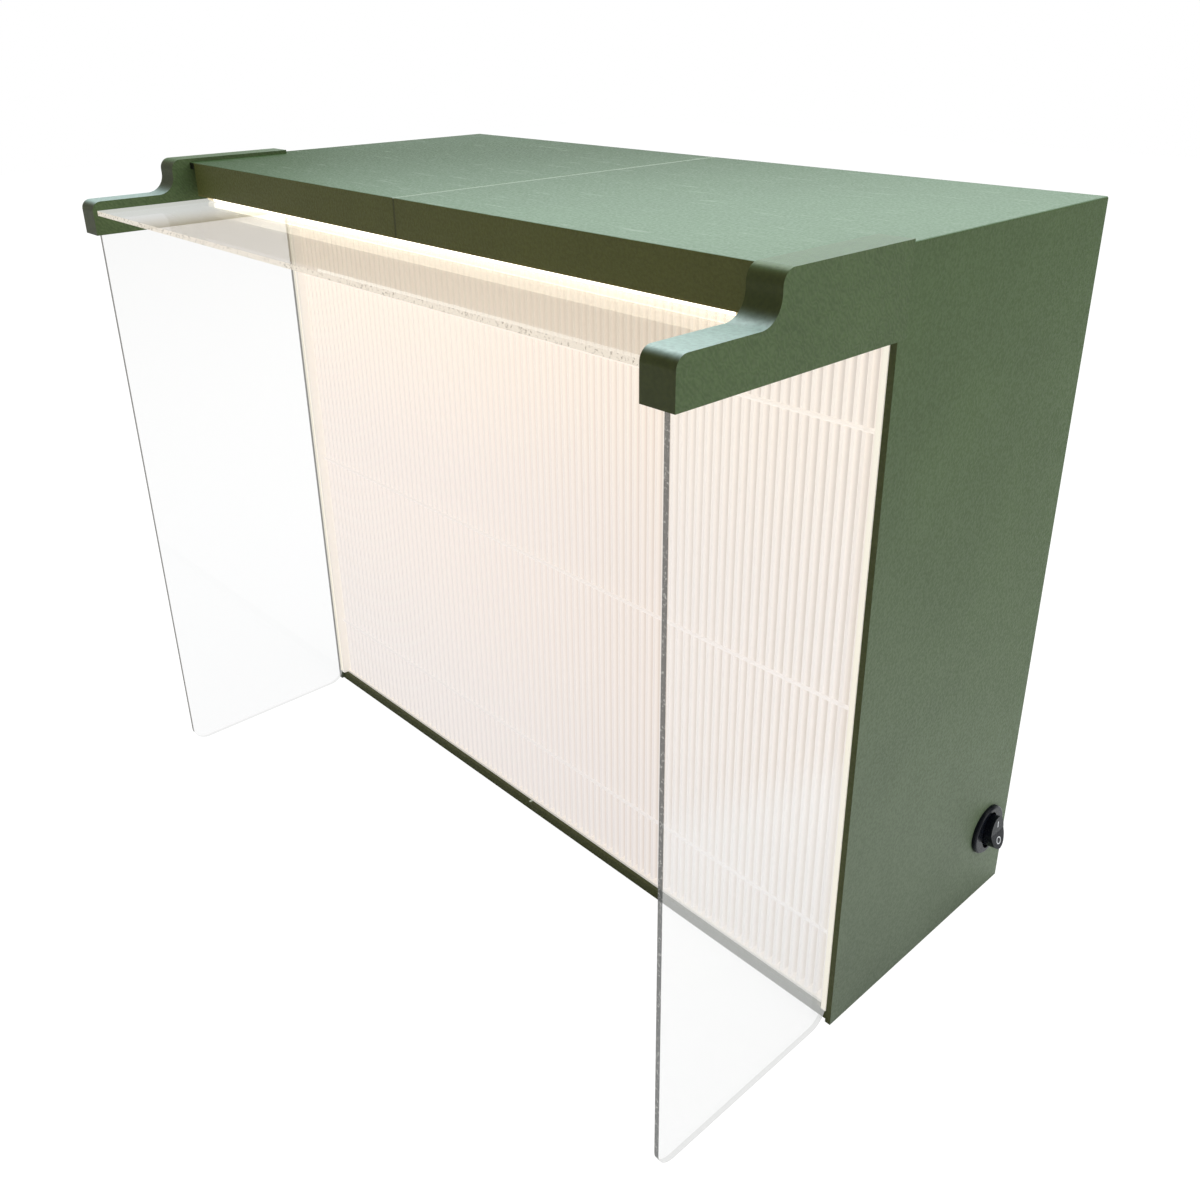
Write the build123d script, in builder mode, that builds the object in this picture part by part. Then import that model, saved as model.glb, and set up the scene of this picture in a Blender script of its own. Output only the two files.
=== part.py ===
from build123d import *
import os
from math import cos, radians, sin, sqrt

os.makedirs("parts", exist_ok=True)

# A desktop laminar flow hood, in millimetres. The origin is on the table, under the middle of
# the housing. X runs to the right, Y to the back and Z up. The clean air leaves towards -Y.

# Housing: a printed shell in two halves, open at the front and the back.
case_width = 366.0
case_height = 306.0
case_depth = 128.0
side_wall = 2.4
roof_wall = 3.0
floor_wall = 3.0
seam_x = -4.0
seam_bevel = 0.4
edge_round = 0.8
front_round = 0.4
rail_height = 4.6
rail_setback = 1.3
lip_depth = 3.0
header_space = 20.0
header_overlap = 1.5

# Canopy: the roof runs forward over the filter and turns down into a fascia.
canopy_reach = 50.5
fascia_height = 14.8
fascia_wall = 3.0
fascia_relief = 4.4
end_rib_wall = 3.2

# Side brackets, which stand beside the canopy and carry the clear sheets.
bracket_reach = 98.8
bracket_thickness = 12.4
bracket_proud = 2.6
bracket_rise = 1.6
bracket_drop = 27.8
arm_drop = 13.1
shoulder_reach = 59.4
shoulder_round = 4.5
neck_round = 8.0
tip_round = 4.0

# Clear sheets.
sheet = 2.0
slot_clearance = 0.15
side_sheet_reach = 95.0
side_sheet_gap = 0.3
side_sheet_bottom = 0.4
side_slot_depth = 7.5
sheet_corner = 8.0
top_sheet_reach = 96.7
top_sheet_back = 38.0
top_sheet_below_fascia = 2.4
top_slot_depth = 4.0
top_sheet_corner = 3.0

# Filter cartridge.
fit_clearance = 0.4
front_clearance = 0.3
filter_depth = 36.0
filter_frame_wall = 2.5
pleat_pitch = 4.17
pleat_recess = 1.0
pleat_depth = 32.0
paper = 0.5
fold_width = 0.9
bead_count = 3
bead_spacing = 103.0
bead_height = 1.8
bead_depth = 0.8
gasket = 3.0
gasket_width = 9.0
seat_wall = 3.0
seat_width = 12.0

# Light bar under the canopy.
light_width = 8.0
light_height = 8.0
light_wall = 1.0
light_end_space = 4.0
light_end_cap = 6.0
light_clearance = 0.1
tape_width = 5.0
tape_thickness = 0.6
diffuser_drop = 2.1
diffuser_round = 1.0

# Rear panels with their intake grilles.
panel = 3.0
panel_recess = 2.0
panel_clearance = 0.3
ledge_wall = 2.5
ledge_width = 6.0
post_radius = 4.0
post_length = 10.0
post_inset = 9.0
intake_radius = 55.0
intake_bar = 2.8
intake_pitch = 8.8
intake_spine = 5.0

# Fans and the foam pads behind the grilles.
fan_size = 120.0
fan_depth = 25.0
fan_flange = 4.0
fan_corner = 6.0
fan_bore = 58.2
fan_hole_spacing = 105.0
fan_hole_radius = 2.2
fan_centre_z = 150.0
rotor_clearance = 1.0
fan_hub_radius = 20.0
fan_hub_depth = 20.0
fan_hub_wall = 2.0
motor_radius = 17.0
motor_depth = 3.0
strut_width = 6.0
spindle_radius = 3.0
spindle_clearance = 0.05
blade_count = 7
blade_tip_gap = 1.4
blade_root_chord = 20.0
blade_root_pitch = 48.0
blade_tip_chord = 36.0
blade_tip_pitch = 24.0
blade_camber = 3.2
blade_thickness = 1.4
pad_thickness = 5.0
pad_size = 116.0
pad_clearance = 1.2
boss_radius = 4.5

# Screws, all with plain round heads.
screw_radius = 1.5
screw_head_radius = 2.8
screw_head = 1.8
screw_bite = 7.0
screw_clearance = 0.2
nut_across_flats = 5.5
nut_height = 2.4
seam_rib = 5.0
seam_rib_height = 12.0
seam_screw_inset = 15.0
bracket_screw_inset = 12.0
bracket_screw_spacing = 22.0
fan_screw_head_radius = 3.4

# Rocker switch in the right wall.
switch_from_back = 18.0
switch_z = 36.0
bezel_radius = 11.5
bezel_thickness = 2.0
barrel_radius = 9.9
barrel_depth = 14.0
barrel_clearance = 0.2
rocker_width = 10.4
rocker_length = 15.6
rocker_proud = 4.6
rocker_depth = 5.0
rocker_side_gap = 0.5
rocker_end_gap = 1.5
rocker_swing = 10.0
rocker_dip = 0.9
pivot_radius = 1.0
pivot_clearance = 0.05
pivot_reach = 1.2
terminal_width = 4.8
terminal_thickness = 0.8
terminal_length = 7.0
terminal_spacing = 7.0

# Low voltage inlet in the right rear panel.
inlet_from_wall = 40.6
inlet_z = 36.0
inlet_radius = 5.5
inlet_flange_radius = 7.5
inlet_length = 14.0
inlet_bore_radius = 2.85
inlet_bore_depth = 9.5
inlet_pin_radius = 1.0
inlet_pin_setback = 1.0
inlet_nut_across_flats = 14.0
inlet_nut_height = 2.5

# Levels and planes that follow from the sizes above.
front_y = -case_depth / 2
back_y = case_depth / 2
roof_under = case_height - roof_wall
wall_inner_x = case_width / 2 - side_wall
canopy_front_y = front_y - canopy_reach
fascia_bottom = case_height - fascia_height
bracket_bottom = case_height - bracket_drop
arm_top = case_height - arm_drop
top_sheet_level = fascia_bottom - top_sheet_below_fascia - sheet
fascia_back_y = canopy_front_y + fascia_wall
lip_back_y = front_y + lip_depth
bracket_outer_x = case_width / 2 + bracket_proud
bracket_inner_x = bracket_outer_x - bracket_thickness
bracket_front_y = front_y - bracket_reach
side_sheet_x = bracket_outer_x - bracket_thickness / 2
top_sheet_front_y = front_y - top_sheet_reach
top_sheet_back_y = front_y - top_sheet_back
filter_width = 2 * (wall_inner_x - fit_clearance)
filter_front_y = lip_back_y + front_clearance
filter_back_y = filter_front_y + filter_depth
filter_top = roof_under - header_space
filter_height = filter_top - floor_wall
header_bottom = filter_top - header_overlap
seat_y = filter_back_y + gasket
panel_back_y = back_y - panel_recess
panel_front_y = panel_back_y - panel
fan_back_y = panel_front_y - pad_thickness
fan_front_y = fan_back_y - fan_depth
light_front_y = fascia_back_y
light_back_y = light_front_y + light_width
light_bottom = fascia_bottom
light_top = light_bottom + light_height
light_end_x = bracket_inner_x - end_rib_wall - light_end_space
light_lit_length = 2 * (light_end_x - light_end_cap)
fan_centre_x = case_width / 4
pad_corner_cut = pad_size - fan_hole_spacing + sqrt(2) * (boss_radius + pad_clearance)
inlet_x = wall_inner_x - inlet_from_wall
switch_y = back_y - switch_from_back
wall_outer_x = case_width / 2


def span(x0, x1, z0, z1, mode=Mode.ADD):
    """Rectangle in the current sketch between two opposite corners."""
    with Locations(((x0 + x1) / 2, (z0 + z1) / 2)):
        Rectangle(abs(x1 - x0), abs(z1 - z0), mode=mode)


def upright(y):
    """Plane across the depth at y, drawn in X and Z and facing the front."""
    return Plane(origin=(0, y, 0), x_dir=(1, 0, 0), z_dir=(0, -1, 0))


def keep(part, name):
    """Labels a finished piece and writes it under its own name."""
    part.label = name
    export_step(part, f"parts/{name}.step")


seam_screw_places = [((front_y + canopy_front_y) / 2, fascia_bottom + seam_rib_height / 2)]
for y in (seat_y + seat_wall + seam_screw_inset, panel_front_y - seam_screw_inset):
    for z in (floor_wall + seam_rib_height / 2, roof_under - seam_rib_height / 2):
        seam_screw_places.append((y, z))

bracket_screw_places = [
    (front_y - bracket_screw_inset, (fascia_bottom + roof_under) / 2),
    (front_y - bracket_screw_inset - bracket_screw_spacing, (fascia_bottom + roof_under) / 2),
]


def panel_screw_places(side):
    """Centres in X and Z of the four screws that hold the rear panel of one half."""
    outer = side * (wall_inner_x - post_inset)
    inner = seam_x + side * (seam_rib + post_inset)
    low = floor_wall + post_inset
    high = roof_under - post_inset
    return [(outer, low), (outer, high), (inner, low), (inner, high)]


def housing_half(side):
    """One printed half of the shell: side is -1 for the left and 1 for the right."""
    outer_x = side * wall_outer_x
    inner_x = side * wall_inner_x
    canopy_end_x = side * bracket_inner_x
    with BuildPart() as half:
        with BuildSketch(Plane.YZ.offset(seam_x)):
            with BuildLine():
                Polyline(
                    (front_y + rail_setback, 0),
                    (back_y, 0),
                    (back_y, floor_wall),
                    (lip_back_y, floor_wall),
                    (lip_back_y, rail_height),
                    (front_y + rail_setback, rail_height),
                    close=True,
                )
            make_face()
            span(front_y, back_y, roof_under, case_height)
            span(front_y, lip_back_y, header_bottom, roof_under)
        extrude(amount=outer_x - seam_x)
        with BuildSketch(Plane.YZ.offset(seam_x)):
            span(canopy_front_y, front_y, roof_under, case_height)
        extrude(amount=canopy_end_x - seam_x)
        with BuildSketch(Plane.YZ.offset(seam_x)):
            span(canopy_front_y, fascia_back_y, fascia_bottom, case_height)
        extrude(amount=canopy_end_x - side * fascia_relief - seam_x)
        with BuildSketch(Plane.YZ.offset(canopy_end_x)):
            span(canopy_front_y + fascia_relief, front_y, fascia_bottom, case_height)
        extrude(amount=-side * end_rib_wall)
        with BuildSketch(Plane.YZ.offset(outer_x)):
            span(front_y, back_y, 0, case_height)
        extrude(amount=-side * side_wall)
        with BuildSketch(upright(seat_y)):
            span(seam_x, inner_x, floor_wall, roof_under)
            span(
                seam_x,
                inner_x - side * seat_width,
                floor_wall + seat_width,
                filter_top - seat_width,
                mode=Mode.SUBTRACT,
            )
        extrude(amount=-seat_wall)
        with BuildSketch(upright(panel_front_y)):
            span(seam_x, inner_x, floor_wall, roof_under)
            span(
                seam_x,
                inner_x - side * ledge_width,
                floor_wall + ledge_width,
                roof_under - ledge_width,
                mode=Mode.SUBTRACT,
            )
        extrude(amount=ledge_wall)
        with BuildSketch(upright(panel_front_y)):
            for x, z in panel_screw_places(side):
                with Locations((x, z)):
                    Circle(post_radius)
                    Rectangle(2 * post_radius, 2 * post_radius)
                edge_z = floor_wall if z < case_height / 2 else roof_under
                span(x - post_radius, x + post_radius, z, edge_z)
        extrude(amount=post_length)
        with BuildSketch(Plane.YZ.offset(seam_x)):
            span(seat_y + seat_wall, panel_front_y, roof_under - seam_rib_height, roof_under)
            span(seat_y + seat_wall, panel_front_y, floor_wall, floor_wall + seam_rib_height)
            span(light_back_y + light_clearance, front_y, fascia_bottom, roof_under)
        extrude(amount=side * seam_rib)
        with BuildSketch(upright(panel_front_y)):
            with Locations(*panel_screw_places(side)):
                Circle(screw_radius)
        extrude(amount=screw_bite + screw_clearance, mode=Mode.SUBTRACT)
        with BuildSketch(Plane.YZ.offset(seam_x)):
            with Locations(*seam_screw_places):
                Circle(screw_radius + screw_clearance)
        extrude(amount=side * seam_rib, mode=Mode.SUBTRACT)
        with BuildSketch(Plane.YZ.offset(canopy_end_x)):
            with Locations(*bracket_screw_places):
                Circle(screw_radius + screw_clearance)
        extrude(amount=-side * end_rib_wall, mode=Mode.SUBTRACT)
        if side > 0:
            with BuildSketch(Plane.YZ.offset(wall_outer_x)):
                with Locations((switch_y, switch_z)):
                    Circle(barrel_radius + barrel_clearance)
            extrude(amount=-side_wall, mode=Mode.SUBTRACT)
        seam_edge = half.edges().group_by(Axis.Z)[-1].filter_by(Axis.Y)
        seam_edge = seam_edge.sort_by_distance(Vector(seam_x, 0, case_height))[0]
        chamfer(seam_edge, length=seam_bevel)
        across = half.edges().group_by(Axis.Z)[-1].filter_by(Axis.X).sort_by(Axis.Y)
        fillet(across[0], radius=front_round)
        corner = Vector(outer_x, back_y, case_height)
        fillet(half.edges().sort_by_distance(corner)[0:3], radius=edge_round)
    return half.part


def bracket(side):
    """Printed arm with an S-shaped front, a slot under it and a slot in its inner face."""
    inner_x = side * bracket_inner_x
    with BuildPart() as arm:
        with BuildSketch(Plane.YZ.offset(inner_x)) as outline:
            with BuildLine():
                Polyline(
                    (front_y, bracket_bottom),
                    (bracket_front_y, bracket_bottom),
                    (bracket_front_y, arm_top),
                    (front_y - shoulder_reach, arm_top),
                    (front_y - shoulder_reach, case_height + bracket_rise),
                    (front_y, case_height + bracket_rise),
                    close=True,
                )
            make_face()
            for y, z, radius in (
                (bracket_front_y, arm_top, tip_round),
                (front_y - shoulder_reach, arm_top, neck_round),
                (front_y - shoulder_reach, case_height + bracket_rise, shoulder_round),
            ):
                fillet(outline.vertices().sort_by_distance(Vector(y, z))[0], radius)
        extrude(amount=side * bracket_thickness)
        slot_half = sheet / 2 + slot_clearance
        with BuildSketch(Plane.YZ.offset(side * (side_sheet_x - slot_half))):
            span(
                front_y - side_sheet_reach - side_sheet_gap,
                front_y,
                bracket_bottom,
                bracket_bottom + side_slot_depth,
            )
        extrude(amount=side * 2 * slot_half, mode=Mode.SUBTRACT)
        with BuildSketch(Plane.YZ.offset(inner_x)):
            span(
                top_sheet_front_y - slot_clearance,
                top_sheet_back_y + slot_clearance,
                top_sheet_level - slot_clearance,
                top_sheet_level + sheet + slot_clearance,
            )
        extrude(amount=side * top_slot_depth, mode=Mode.SUBTRACT)
        with BuildSketch(Plane.YZ.offset(inner_x)):
            with Locations(*bracket_screw_places):
                Circle(screw_radius)
        extrude(amount=side * (screw_bite + screw_clearance), mode=Mode.SUBTRACT)
    return arm.part


def side_sheet(side):
    """Clear side sheet, its top edge up in the bracket's slot."""
    top = bracket_bottom + side_slot_depth - slot_clearance
    with BuildPart() as pane:
        with BuildSketch(Plane.YZ.offset(side * side_sheet_x - sheet / 2)) as outline:
            span(front_y - side_sheet_reach, front_y - side_sheet_gap, side_sheet_bottom, top)
            fillet(outline.vertices().group_by(Axis.Y)[0], sheet_corner)
        extrude(amount=sheet)
    return pane.part


def top_sheet():
    """Clear top sheet, its two ends in the brackets' inner slots."""
    half_width = bracket_inner_x + top_slot_depth - slot_clearance
    with BuildPart() as pane:
        with BuildSketch(Plane.XY.offset(top_sheet_level)) as outline:
            span(-half_width, half_width, top_sheet_front_y, top_sheet_back_y)
            fillet(outline.vertices(), top_sheet_corner)
        extrude(amount=sheet)
    return pane.part


def filter_frame():
    """Open rectangular frame of the filter cartridge."""
    half_width = filter_width / 2
    wall = filter_frame_wall
    with BuildPart() as frame:
        with BuildSketch(upright(filter_front_y)):
            span(-half_width, half_width, floor_wall, filter_top)
            span(
                wall - half_width,
                half_width - wall,
                floor_wall + wall,
                filter_top - wall,
                mode=Mode.SUBTRACT,
            )
        extrude(amount=-filter_depth)
    return frame.part


def pleat_outline(x0, x1, front, back):
    """Closed outline in X and Y of one folded sheet between two frame walls."""
    count = round((x1 - x0) / pleat_pitch)
    pitch = (x1 - x0) / count
    wide = (fold_width + paper) / 2
    narrow = (fold_width - paper) / 2
    near = [(x0, back - paper)]
    far = [(x0, back)]
    for index in range(count):
        middle = x0 + (index + 0.5) * pitch
        left = middle - pitch / 2
        right = middle + pitch / 2
        near += [(left + narrow, back - paper), (middle - wide, front)]
        near += [(middle + wide, front), (right - narrow, back - paper)]
        far += [(left + wide, back), (middle - narrow, front + paper)]
        far += [(middle + narrow, front + paper), (right - wide, back)]
    near.append((x1, back - paper))
    far.append((x1, back))
    return near + far[::-1]


def filter_media():
    """The folded filter paper, one sheet from wall to wall with upright pleats."""
    half_width = filter_width / 2 - filter_frame_wall
    front = filter_front_y + pleat_recess
    points = pleat_outline(-half_width, half_width, front, front + pleat_depth)
    with BuildPart() as media:
        with BuildSketch(Plane.XY.offset(floor_wall + filter_frame_wall)):
            with BuildLine():
                Polyline(*points, close=True)
            make_face()
        extrude(amount=filter_height - 2 * filter_frame_wall)
    return media.part


def filter_beads():
    """Level lines of glue that space the folds, in front of them and behind them."""
    half_width = filter_width / 2 - filter_frame_wall
    middle = floor_wall + filter_height / 2
    front = filter_front_y + pleat_recess
    first = middle - bead_spacing * (bead_count - 1) / 2
    with BuildPart() as beads:
        for index in range(bead_count):
            level = first + index * bead_spacing
            for y, turn in ((front, -1), (front + pleat_depth, 1)):
                with BuildSketch(Plane.YZ.offset(-half_width)):
                    with BuildLine():
                        bottom = (y, level - bead_height / 2)
                        top = (y, level + bead_height / 2)
                        ThreePointArc(bottom, (y + turn * bead_depth, level), top)
                        Line(top, bottom)
                    make_face()
                extrude(amount=2 * half_width)
    return beads.part


def filter_gasket():
    """Foam strip round the back rim of the cartridge, against the seat in the housing."""
    half_width = filter_width / 2
    with BuildPart() as seal:
        with BuildSketch(upright(filter_back_y)):
            span(-half_width, half_width, floor_wall, filter_top)
            span(
                gasket_width - half_width,
                half_width - gasket_width,
                floor_wall + gasket_width,
                filter_top - gasket_width,
                mode=Mode.SUBTRACT,
            )
        extrude(amount=-gasket)
    return seal.part


def light_channel():
    """Aluminium channel behind the fascia, open downwards."""
    with BuildPart() as channel:
        with BuildSketch(Plane.YZ.offset(-light_lit_length / 2)):
            span(light_front_y, light_back_y, light_bottom, light_top)
            span(
                light_front_y + light_wall,
                light_back_y - light_wall,
                light_bottom,
                light_top - light_wall,
                mode=Mode.SUBTRACT,
            )
        extrude(amount=light_lit_length)
    return channel.part


def light_tape():
    """Strip of light-emitting chips stuck under the web of the channel."""
    middle = (light_front_y + light_back_y) / 2
    under = light_top - light_wall
    with BuildPart() as tape:
        with BuildSketch(Plane.YZ.offset(-light_lit_length / 2)):
            span(middle - tape_width / 2, middle + tape_width / 2, under - tape_thickness, under)
        extrude(amount=light_lit_length)
    return tape.part


def light_diffuser():
    """Frosted cover that closes the channel and hangs a little below the fascia."""
    lip = light_wall + light_clearance
    with BuildPart() as cover:
        with BuildSketch(Plane.YZ.offset(-light_lit_length / 2)) as outline:
            span(light_front_y, light_back_y, light_bottom - diffuser_drop, light_bottom)
            fillet(outline.vertices().group_by(Axis.Y)[0], diffuser_round)
            span(
                light_front_y + lip,
                light_back_y - lip,
                light_bottom,
                light_bottom + light_wall,
            )
        extrude(amount=light_lit_length)
    return cover.part


def light_end_caps():
    """Plastic caps that close the two ends of the light bar."""
    with BuildPart() as caps:
        for side in (-1, 1):
            with BuildSketch(Plane.YZ.offset(side * light_lit_length / 2)) as outline:
                span(light_front_y, light_back_y, light_bottom - diffuser_drop, light_top)
                fillet(outline.vertices().group_by(Axis.Y)[0], diffuser_round)
            extrude(amount=side * light_end_cap)
    return caps.part


def rear_panel(side):
    """Panel that closes the back of one half, with a round barred intake and fan bosses."""
    outer = side * (wall_inner_x - panel_clearance)
    centre = (side * fan_centre_x, fan_centre_z)
    low = floor_wall + panel_clearance
    high = roof_under - panel_clearance
    with BuildPart() as plate:
        with BuildSketch(upright(panel_front_y)):
            span(seam_x, outer, low, high)
        extrude(amount=-panel)
        with BuildSketch(upright(panel_front_y)):
            with Locations(centre):
                with GridLocations(fan_hole_spacing, fan_hole_spacing, 2, 2):
                    Circle(boss_radius)
        extrude(amount=pad_thickness)
        with BuildSketch(upright(panel_front_y)):
            with Locations(centre):
                Circle(intake_radius)
                Rectangle(intake_spine, 2 * intake_radius, mode=Mode.SUBTRACT)
                bars = int(intake_radius / intake_pitch)
                with GridLocations(0, intake_pitch, 1, 2 * bars + 1):
                    Rectangle(2 * intake_radius, intake_bar, mode=Mode.SUBTRACT)
        extrude(amount=-panel, mode=Mode.SUBTRACT)
        with BuildSketch(upright(panel_front_y)):
            with Locations(*panel_screw_places(side)):
                Circle(screw_radius + screw_clearance)
            if side > 0:
                with Locations((inlet_x, inlet_z)):
                    Circle(inlet_radius + screw_clearance)
        extrude(amount=-panel, mode=Mode.SUBTRACT)
        with BuildSketch(upright(panel_front_y - pad_thickness)):
            with Locations(centre):
                with GridLocations(fan_hole_spacing, fan_hole_spacing, 2, 2):
                    Circle(screw_radius)
        extrude(amount=-screw_bite - screw_clearance, mode=Mode.SUBTRACT)
    return plate.part


def foam_pad(side):
    """Coarse foam pad between a grille and its fan, cut off at the corners for the bosses."""
    with BuildPart() as pad:
        with BuildSketch(upright(panel_front_y)) as outline:
            with Locations((side * fan_centre_x, fan_centre_z)):
                Rectangle(pad_size, pad_size)
            chamfer(outline.vertices(), length=pad_corner_cut)
        extrude(amount=pad_thickness)
    return pad.part


def fan_frame(side):
    """Square fan frame with a round duct, four struts and the fixed spindle."""
    centre = (side * fan_centre_x, fan_centre_z)
    with BuildPart() as frame:
        with BuildSketch(upright(fan_back_y)):
            with Locations(centre):
                Circle(fan_size / 2)
        extrude(amount=fan_depth)
        for y in (fan_back_y, fan_front_y + fan_flange):
            with BuildSketch(upright(y)):
                with Locations(centre):
                    RectangleRounded(fan_size, fan_size, fan_corner)
            extrude(amount=fan_flange)
        with BuildSketch(upright(fan_back_y)):
            with Locations(centre):
                Circle(fan_bore)
                with GridLocations(fan_hole_spacing, fan_hole_spacing, 2, 2):
                    Circle(fan_hole_radius)
        extrude(amount=fan_depth, mode=Mode.SUBTRACT)
        with BuildSketch(upright(fan_front_y + motor_depth)):
            with Locations(centre):
                Circle(motor_radius)
                for turn in (45, 135):
                    Rectangle(2 * fan_bore + strut_width, strut_width, rotation=turn)
        extrude(amount=motor_depth)
        with BuildSketch(upright(fan_front_y + motor_depth)):
            with Locations(centre):
                Circle(spindle_radius)
        extrude(amount=-fan_hub_depth + fan_hub_wall)
    return frame.part


def blade_profile(centre, angle, radius, chord, pitch):
    """Thin curved blade section on a plane square to the spoke at the given angle."""
    outward = Vector(cos(radians(angle)), 0, sin(radians(angle)))
    around = Vector(-sin(radians(angle)), 0, cos(radians(angle)))
    along = Vector(cos(radians(pitch)), sin(radians(pitch)))
    normal = Vector(-sin(radians(pitch)), cos(radians(pitch)))
    nose = along * (-chord / 2)
    tail = along * (chord / 2)
    section = Plane(origin=centre + outward * radius, x_dir=around, z_dir=outward)
    with BuildSketch(section) as profile:
        with BuildLine():
            ThreePointArc(nose, normal * (blade_camber + blade_thickness / 2), tail)
            ThreePointArc(tail, normal * (blade_camber - blade_thickness / 2), nose)
        make_face()
    return profile.sketch.face()


def fan_rotor(side):
    """Moulded rotor: a hub cup on the spindle with twisted blades."""
    hub_front_y = fan_front_y + motor_depth + rotor_clearance
    hub_back_y = hub_front_y + fan_hub_depth
    middle = Vector(side * fan_centre_x, (hub_front_y + hub_back_y) / 2, fan_centre_z)
    centre = (side * fan_centre_x, fan_centre_z)
    bore = spindle_radius + spindle_clearance
    with BuildPart() as rotor:
        with BuildSketch(upright(hub_back_y)):
            with Locations(centre):
                Circle(fan_hub_radius)
        extrude(amount=fan_hub_depth)
        fillet(rotor.edges().group_by(Axis.Y)[-1], radius=fan_hub_wall)
        for index in range(blade_count):
            angle = 360.0 / blade_count * index
            root = fan_hub_radius - fan_hub_wall
            tip = fan_bore
            inner = blade_profile(middle, angle, root, blade_root_chord, blade_root_pitch)
            outer = blade_profile(middle, angle, tip, blade_tip_chord, blade_tip_pitch)
            loft([inner, outer])
        with BuildSketch(upright(hub_back_y)):
            with Locations(centre):
                Circle(fan_bore - blade_tip_gap)
        extrude(amount=fan_hub_depth, mode=Mode.INTERSECT)
        with BuildSketch(upright(hub_front_y)):
            with Locations(centre):
                Circle(fan_hub_radius - fan_hub_wall)
                Circle(bore + fan_hub_wall, mode=Mode.SUBTRACT)
        extrude(amount=-fan_hub_depth + 2 * fan_hub_wall, mode=Mode.SUBTRACT)
        with BuildSketch(upright(hub_front_y)):
            with Locations(centre):
                Circle(bore)
        extrude(amount=-fan_hub_depth + fan_hub_wall, mode=Mode.SUBTRACT)
    return rotor.part


def round_screw(plane, bite, head_radius=screw_head_radius):
    """Round-headed screw on the plane, with its head above it and its shank below."""
    with BuildPart() as screw:
        with BuildSketch(plane):
            Circle(head_radius)
        extrude(amount=screw_head)
        with BuildSketch(plane):
            Circle(screw_radius)
        extrude(amount=-bite)
    return screw.part


def panel_screws():
    """Screws through the rear panels into the posts of the housing."""
    with BuildPart() as screws:
        for side in (-1, 1):
            for x, z in panel_screw_places(side):
                plane = Plane(origin=(x, panel_back_y, z), z_dir=(0, 1, 0))
                add(round_screw(plane, panel + screw_bite))
    return screws.part


def fan_screws():
    """Long screws through the fan frames into the bosses of the rear panels."""
    half = fan_hole_spacing / 2
    with BuildPart() as screws:
        for side in (-1, 1):
            for x in (-half, half):
                for z in (-half, half):
                    place = (side * fan_centre_x + x, fan_front_y, fan_centre_z + z)
                    plane = Plane(origin=place, z_dir=(0, -1, 0))
                    add(round_screw(plane, fan_depth + screw_bite, fan_screw_head_radius))
    return screws.part


def bracket_screws():
    """Screws from inside the canopy into the brackets."""
    with BuildPart() as screws:
        for side in (-1, 1):
            for y, z in bracket_screw_places:
                place = (side * (bracket_inner_x - end_rib_wall), y, z)
                plane = Plane(origin=place, z_dir=(-side, 0, 0))
                add(round_screw(plane, end_rib_wall + screw_bite))
    return screws.part


def seam_screws():
    """Screws that draw the two halves together through their inner ribs."""
    with BuildPart() as screws:
        for y, z in seam_screw_places:
            place = (seam_x - seam_rib, y, z)
            plane = Plane(origin=place, z_dir=(-1, 0, 0))
            add(round_screw(plane, 2 * seam_rib + nut_height + screw_clearance))
    return screws.part


def seam_nuts():
    """Hexagon nuts on the far ends of the seam screws."""
    with BuildPart() as nuts:
        for y, z in seam_screw_places:
            with BuildSketch(Plane(origin=(seam_x + seam_rib, y, z), z_dir=(1, 0, 0))):
                RegularPolygon(nut_across_flats / 2, 6, major_radius=False)
                Circle(screw_radius, mode=Mode.SUBTRACT)
            extrude(amount=nut_height)
    return nuts.part


def switch_body():
    """Round switch body: a bezel outside the wall and a barrel inside it."""
    with BuildPart() as body:
        with BuildSketch(Plane.YZ.offset(wall_outer_x)):
            with Locations((switch_y, switch_z)):
                Circle(bezel_radius)
        extrude(amount=bezel_thickness)
        fillet(body.edges().group_by(Axis.X)[-1], radius=bezel_thickness / 2)
        with BuildSketch(Plane.YZ.offset(wall_outer_x)):
            with Locations((switch_y, switch_z)):
                Circle(barrel_radius)
        extrude(amount=-barrel_depth)
        with BuildSketch(Plane.YZ.offset(wall_outer_x + bezel_thickness)):
            with Locations((switch_y, switch_z)):
                Ellipse(rocker_width / 2 + rocker_side_gap, rocker_length / 2 + rocker_end_gap)
        extrude(amount=-bezel_thickness - rocker_depth - rocker_end_gap, mode=Mode.SUBTRACT)
        with BuildSketch(Plane.XZ.offset(-switch_y)):
            with Locations((wall_outer_x, switch_z)):
                Circle(pivot_radius + pivot_clearance)
        extrude(
            amount=rocker_width / 2 + pivot_reach + pivot_clearance,
            both=True,
            mode=Mode.SUBTRACT,
        )
    return body.part


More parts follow.
